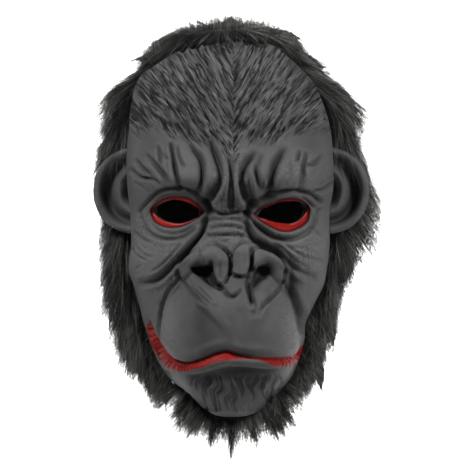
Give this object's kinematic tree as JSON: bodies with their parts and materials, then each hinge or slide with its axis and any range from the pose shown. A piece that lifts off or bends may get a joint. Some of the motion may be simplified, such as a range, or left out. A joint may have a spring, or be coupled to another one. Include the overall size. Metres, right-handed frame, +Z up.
{
  "type": "full-head gorilla mask",
  "caption": "Full-head gorilla mask: a cast latex face with eye holes and ears on a cloth hood covered in long black fur.",
  "frame": {"origin": "where the crown of the wearer's head meets the inside of the hood, on the mask's middle plane", "axes": "+Z up, -Y the way the face looks, +X towards the wearer's left ear"},
  "size_m": [0.2269, 0.285, 0.3673],
  "materials": {
    "latex": "matte, painted dark grey with dull red at the lips and lids",
    "lining": "black knit cloth",
    "fur": "long black artificial fur"
  },
  "bodies": {
    "root": {"face_shell": "latex", "ear_right": "latex", "ear_left": "latex", "hood_lining": "lining", "hood_fur": "fur", "beard_fur": "fur"}
  },
  "joints": []
}
